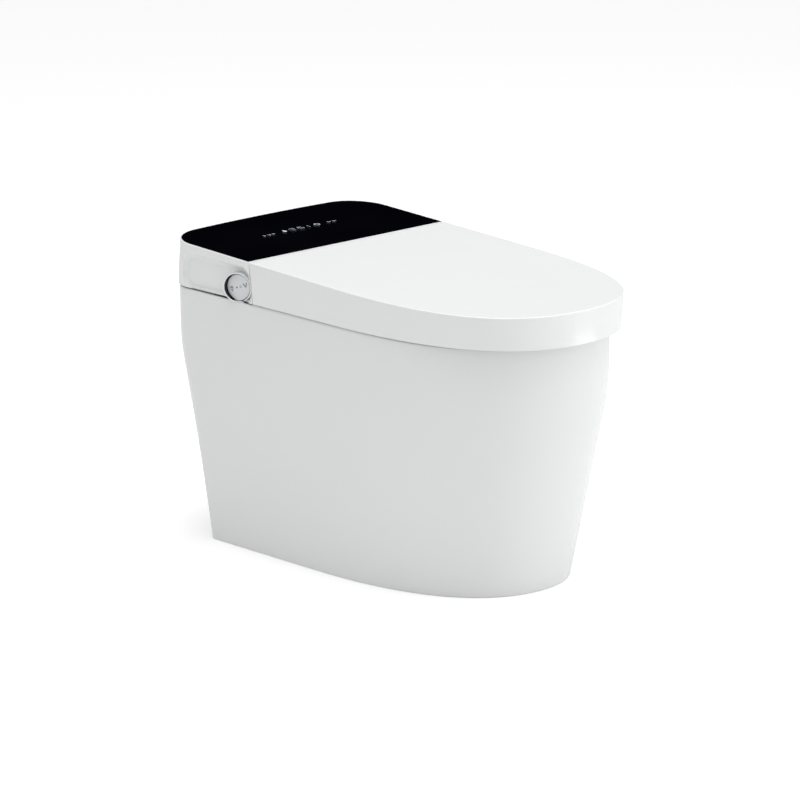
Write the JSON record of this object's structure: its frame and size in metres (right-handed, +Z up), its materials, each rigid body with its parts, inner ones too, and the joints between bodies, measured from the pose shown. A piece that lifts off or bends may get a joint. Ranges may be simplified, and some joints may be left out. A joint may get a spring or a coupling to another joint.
{
  "type": "smart toilet with heated seat",
  "caption": "Floor-standing skirted smart toilet with a soft-close lid, heated seat, washing nozzle, warm air dryer, touch panel and side control knob.",
  "frame": {"origin": "on the floor under the centre of the waste outlet, 2 mm below the outlet's rim", "axes": "+X to the right seen from the front, +Y towards the wall behind, the front of the bowl faces -Y, +Z up"},
  "size_m": [0.4069, 0.7103, 0.468],
  "materials": {
    "vitreous_china": "glossy white glaze",
    "white_shell": "glossy white",
    "black_glass": "back-painted black, polished",
    "seat_white": "glossy white",
    "grey_plastic": "matte",
    "dark_plastic": "matte",
    "white_plastic": "matte",
    "chrome_trim": "polished",
    "satin_silver": "satin silver",
    "steel": "brushed",
    "zinc_steel": "zinc plated",
    "black_rubber": "matte",
    "grey_rubber": "matte",
    "brass_fitting": "machined",
    "circuit_green": "solder mask",
    "heater_film": "foil",
    "motor_case": "drawn",
    "pump_case": "glass filled nylon",
    "clear_hose": "silicone"
  },
  "bodies": {
    "toilet_base": {"ceramic_rim": "vitreous_china", "ceramic_skirt": "vitreous_china", "ceramic_bowl": "vitreous_china", "ceramic_trapway": "vitreous_china", "rear_cover": "white_shell", "glass_panel": "black_glass", "hinge_pins": "steel", "seat_damper": "dark_plastic", "lid_damper": "dark_plastic", "hinge_housing": "white_plastic", "air_duct": "grey_plastic", "blower_case": "grey_plastic", "blower_motor": "motor_case", "air_heater": "heater_film", "knob_bezel": "chrome_trim", "knob_encoder": "dark_plastic", "knob_spring": "steel", "nozzle_guide": "grey_plastic", "nozzle_motor": "motor_case", "chassis_pan": "grey_plastic", "cover_gasket": "black_rubber", "chassis_screws": "zinc_steel", "bracket_screws": "zinc_steel", "plate_screws": "zinc_steel", "floor_bracket_left": "zinc_steel", "floor_bracket_right": "zinc_steel", "outlet_seal": "black_rubber", "service_plate": "white_plastic", "inlet_nipple": "brass_fitting", "cord_gland": "dark_plastic", "water_heater": "white_plastic", "flush_pump": "pump_case", "inlet_valve": "pump_case", "power_supply": "motor_case", "control_board": "circuit_green", "display_board": "circuit_green", "supply_hose": "clear_hose", "flush_hose": "clear_hose", "tank_hose": "clear_hose", "flush_jet": "white_plastic"},
    "seat": {"seat_top": "seat_white", "seat_base": "white_plastic", "seat_heater": "heater_film", "seat_bumpers": "grey_rubber"},
    "lid": {"lid_shell": "white_shell", "lid_liner": "seat_white", "lid_bumpers": "grey_rubber"},
    "knob_slider": {"knob_sleeve": "dark_plastic"},
    "knob": {"knob_cap": "satin_silver", "knob_shaft": "steel"},
    "nozzle": {"nozzle_wand": "steel", "nozzle_tip": "white_plastic", "nozzle_rack": "white_plastic"},
    "pinion": {"nozzle_pinion": "dark_plastic"},
    "air_flap": {"dryer_flap": "white_plastic"},
    "fan": {"fan_wheel": "dark_plastic", "fan_spindle": "steel"}
  },
  "joints": [
    {"name": "seat_hinge", "type": "hinge", "parent": "toilet_base", "child": "seat", "pos_m": [0, 0.0846, 0.452], "axis": [1, 0, 0], "range_deg": [-95, 0]},
    {"name": "lid_hinge", "type": "hinge", "parent": "seat", "child": "lid", "pos_m": [0, 0.0846, 0.452], "axis": [-1, 0, 0], "range_deg": [0, 98]},
    {"name": "knob_press", "type": "slide", "parent": "toilet_base", "child": "knob_slider", "axis": [0.9659, 0.2588, 0], "range_m": [0, 0.003], "stiffness_N_per_m": 600, "springref_m": -0.002, "deforming": ["knob_spring"]},
    {"name": "knob_turn", "type": "hinge", "parent": "knob_slider", "child": "knob", "pos_m": [-0.194, 0.1257, 0.4136], "axis": [-0.9659, -0.2588, 0], "range_deg": [-30, 30], "stiffness_Nm_per_rad": 0.05},
    {"name": "nozzle_slide", "type": "slide", "parent": "toilet_base", "child": "nozzle", "axis": [0, -0.9848, -0.1736], "range_m": [0, 0.105]},
    {"name": "pinion_spin", "type": "hinge", "parent": "toilet_base", "child": "pinion", "pos_m": [0.016, 0.05173, 0.41063], "axis": [0, -0.1736, 0.9848], "range_deg": [0, 860]},
    {"name": "air_flap_hinge", "type": "hinge", "parent": "toilet_base", "child": "air_flap", "pos_m": [0.062, 0.0302, 0.4133], "axis": [-1, 0, 0], "range_deg": [0, 65]},
    {"name": "fan_spin", "type": "hinge", "parent": "toilet_base", "child": "fan", "pos_m": [0.075, 0.152, 0.409], "axis": [0, 0, 1], "continuous": true}
  ],
  "couplings": [
    {"joint": "pinion_spin", "follows": "nozzle_slide", "rad_per_m": 142.86}
  ]
}
